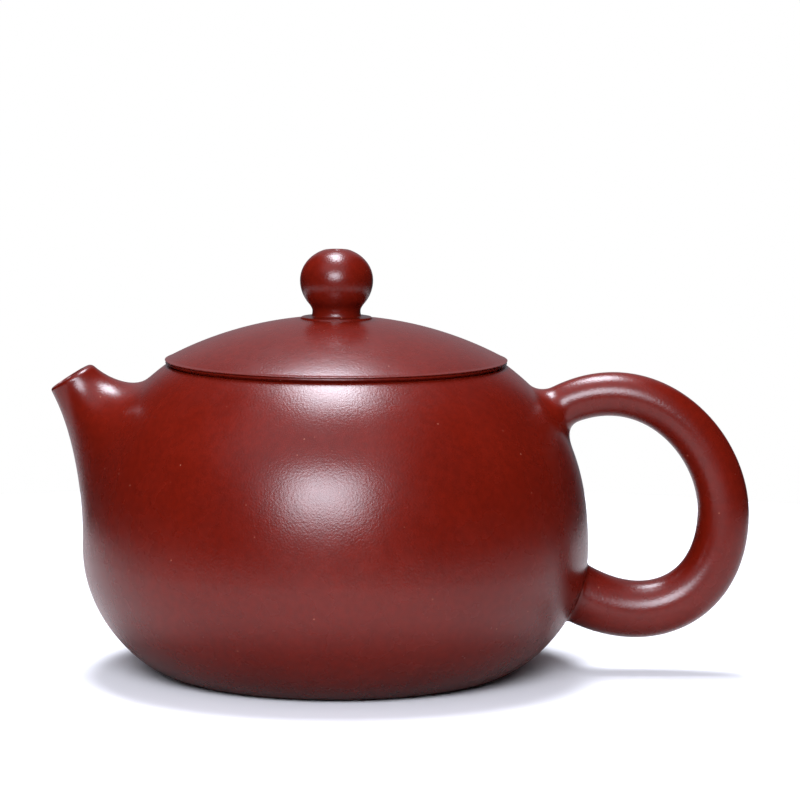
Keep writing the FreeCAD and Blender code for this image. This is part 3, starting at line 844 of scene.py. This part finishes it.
FLOOR_R = 0.27
# The floor's painted contact shadow: darkest out to the first radius, fading to the pale floor by the
# second.
FLOOR_PAINTED_SHADOW_R = 0.030
FLOOR_PALE_R = 0.070
FLOOR_WHITE = 0.93
FLOOR_PALE = (0.57, 0.52, 0.50, 1)
FLOOR_PAINTED_SHADOW = (0.20, 0.18, 0.18, 1)
LAMP_TINT = (0.95, 0.98, 1.10)
ROOM_DIM = 0.015
WALL_PALE = 0.3
CEILING_PALE = 0.9
CEILING_TOWARDS = (-0.13, -0.525, 0.841)
LAMP_MIDDLE = 1.25
LAMP_CORNER = 0.5
LENS = 175.5
SENSOR = 36
CAMERA_PLACE = Vector((12.876, -781.56, 144.92)) * mm
CAMERA_PITCH = math.radians(90 - 6.541)
CAMERA_ROLL = math.radians(0.3)


def floor():
    """A round table: white to the camera, and for the pot's light pale grey, with a painted contact shadow
    darker under the pot.
    """
    rim = [(FLOOR_R * math.cos(a), FLOOR_R * math.sin(a), 0) for a in np.linspace(0, 2 * math.pi, 97)[:-1]]
    mesh = bpy.data.meshes.new("floor")
    mesh.from_pydata(rim, [], [tuple(range(len(rim)))])
    plane = bpy.data.objects.new("floor", mesh)
    bpy.context.scene.collection.objects.link(plane)
    material = bpy.data.materials.new("floor_white")
    material.use_nodes = True
    tree = material.node_tree
    shader = tree.nodes["Principled BSDF"]
    path = tree.nodes.new("ShaderNodeLightPath")
    away = node(tree, "ShaderNodeVectorMath", operation="LENGTH")
    tree.links.new(tree.nodes.new("ShaderNodeTexCoord").outputs["Object"], away.inputs[0])
    # Painted shadow: for the pot's light, the floor's colour darkens towards the pot's foot.
    pale = ramp(tree, away.outputs["Value"], [(FLOOR_PAINTED_SHADOW_R, FLOOR_PAINTED_SHADOW), (FLOOR_PALE_R, FLOOR_PALE)])
    colour = mixed(tree, path.outputs["Is Camera Ray"], pale, grey(FLOOR_WHITE))
    tree.links.new(colour, shader.inputs["Base Color"])
    shader.inputs["Roughness"].default_value = 0.8
    shader.inputs["Specular IOR Level"].default_value = 0.2
    mesh.materials.append(material)


def softbox(name, place, aim, width, height, brightness):
    """A rectangular lamp whose face has a given brightness, more in its middle than at its corners."""
    data = bpy.data.lights.new(name, "AREA")
    data.shape = "RECTANGLE"
    data.size, data.size_y = width, height
    data.energy = brightness * math.pi * width * height
    data.color = LAMP_TINT
    data.use_nodes = True
    tree = data.node_tree
    off = node(tree, "ShaderNodeVectorMath", operation="DISTANCE")
    off.inputs[1].default_value = (0.5, 0.5, 0)
    tree.links.new(tree.nodes.new("ShaderNodeNewGeometry").outputs["Parametric"], off.inputs[0])
    fade = node(tree, "ShaderNodeMapRange", in_From_Min=0.0, in_From_Max=0.7, in_To_Min=LAMP_MIDDLE,
                in_To_Max=LAMP_CORNER)
    fade.interpolation_type = "SMOOTHSTEP"
    tree.links.new(off.outputs["Value"], fade.inputs["Value"])
    tree.links.new(fade.outputs["Result"], tree.nodes["Emission"].inputs["Strength"])
    lamp = bpy.data.objects.new(name, data)
    lamp.location = place
    lamp.rotation_euler = (Vector(aim) - Vector(place)).to_track_quat("-Z", "Y").to_euler()
    bpy.context.scene.collection.objects.link(lamp)


def studio():
    """A dark room with a pale wall behind and a dim ceiling, a softbox overhead and one above the camera."""
    world = bpy.data.worlds.new("studio")
    bpy.context.scene.world = world
    world.use_nodes = True
    tree = world.node_tree
    tree.nodes.clear()
    coords = tree.nodes.new("ShaderNodeTexCoord")
    split = tree.nodes.new("ShaderNodeSeparateXYZ")
    tree.links.new(coords.outputs["Generated"], split.inputs[0])
    aside = node(tree, "ShaderNodeMath", operation="ABSOLUTE")
    tree.links.new(split.outputs["X"], aside.inputs[0])
    wall = node(tree, "ShaderNodeMapRange", in_From_Min=0.48, in_From_Max=0.25, in_To_Min=0.0,
                in_To_Max=WALL_PALE)
    wall.interpolation_type = "SMOOTHSTEP"
    tree.links.new(aside.outputs[0], wall.inputs["Value"])
    behind = node(tree, "ShaderNodeMapRange", in_From_Min=0.1, in_From_Max=0.4)
    tree.links.new(split.outputs["Y"], behind.inputs["Value"])
    both = node(tree, "ShaderNodeMath", operation="MULTIPLY")
    tree.links.new(wall.outputs["Result"], both.inputs[0])
    tree.links.new(behind.outputs["Result"], both.inputs[1])
    towards = node(tree, "ShaderNodeVectorMath", operation="DOT_PRODUCT")
    tree.links.new(coords.outputs["Generated"], towards.inputs[0])
    towards.inputs[1].default_value = CEILING_TOWARDS
    ceiling = node(tree, "ShaderNodeMapRange", in_From_Min=0.72, in_From_Max=0.97, in_To_Min=ROOM_DIM,
                   in_To_Max=CEILING_PALE)
    ceiling.interpolation_type = "SMOOTHSTEP"
    tree.links.new(towards.outputs["Value"], ceiling.inputs["Value"])
    dim = node(tree, "ShaderNodeMath", operation="ADD")
    tree.links.new(both.outputs[0], dim.inputs[0])
    tree.links.new(ceiling.outputs["Result"], dim.inputs[1])
    lit = tree.nodes.new("ShaderNodeBackground")
    lit.inputs["Color"].default_value = LAMP_TINT + (1,)
    tree.links.new(dim.outputs[0], lit.inputs["Strength"])
    seen = tree.nodes.new("ShaderNodeBackground")
    seen.inputs["Color"].default_value = (1, 1, 1, 1)
    seen.inputs["Strength"].default_value = 1.0
    path = tree.nodes.new("ShaderNodeLightPath")
    mix = tree.nodes.new("ShaderNodeMixShader")
    tree.links.new(path.outputs["Is Camera Ray"], mix.inputs[0])
    tree.links.new(lit.outputs[0], mix.inputs[1])
    tree.links.new(seen.outputs[0], mix.inputs[2])
    out = tree.nodes.new("ShaderNodeOutputWorld")
    tree.links.new(mix.outputs[0], out.inputs["Surface"])
    softbox("key", (-0.065, -0.85, 0.45), (0, -0.045, 0.043), 0.56, 0.43, 17.5)
    softbox("top", (-0.035, 0.18, 1.05), (0, 0, 0.06), 0.36, 0.60, 27.5)


def camera():
    data = bpy.data.cameras.new("camera")
    data.lens, data.sensor_width = LENS, SENSOR
    data.clip_start, data.clip_end = 0.05, 50
    made = bpy.data.objects.new("camera", data)
    turned = Matrix.Rotation(CAMERA_PITCH, 4, "X") @ Matrix.Rotation(CAMERA_ROLL, 4, "Z")
    made.matrix_world = Matrix.Translation(CAMERA_PLACE) @ turned
    bpy.context.scene.collection.objects.link(made)
    bpy.context.scene.camera = made


floor()
studio()
camera()
bpy.context.scene.view_settings.view_transform = "Standard"
